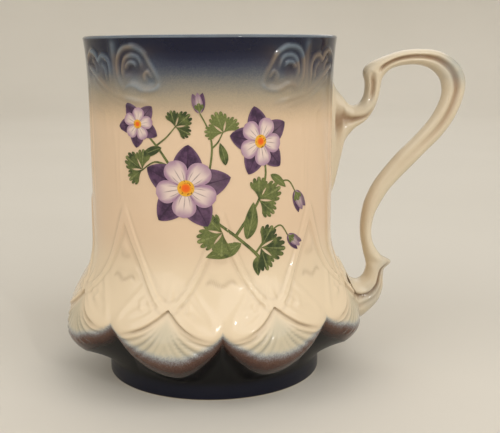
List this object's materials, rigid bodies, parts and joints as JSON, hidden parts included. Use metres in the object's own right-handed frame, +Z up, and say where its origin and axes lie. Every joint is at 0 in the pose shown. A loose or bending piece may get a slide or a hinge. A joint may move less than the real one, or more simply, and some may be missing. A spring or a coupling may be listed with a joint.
{
  "type": "mustache cup",
  "caption": "Porcelain mustache cup with a scalloped, ribbed belly on a foot ring, a scrolled handle and a guard with a drinking slot across the mouth.",
  "frame": {"origin": "centre of the foot ring's resting plane", "axes": "+Z up along the cup's axis, +X towards the handle, -Y towards the decorated front and the drinker"},
  "size_m": [0.121, 0.0876, 0.1],
  "materials": {
    "body_glaze": "glossy clear glaze over cream porcelain, cobalt shading at the rim and under the belly, printed flowers",
    "handle_glaze": "glossy clear glaze over cream porcelain, with faint cobalt shading at the shoulders",
    "guard_glaze": "glossy clear glaze over cream porcelain"
  },
  "bodies": {
    "root": {"cup_body": "body_glaze", "handle": "handle_glaze", "moustache_guard": "guard_glaze"}
  },
  "joints": []
}
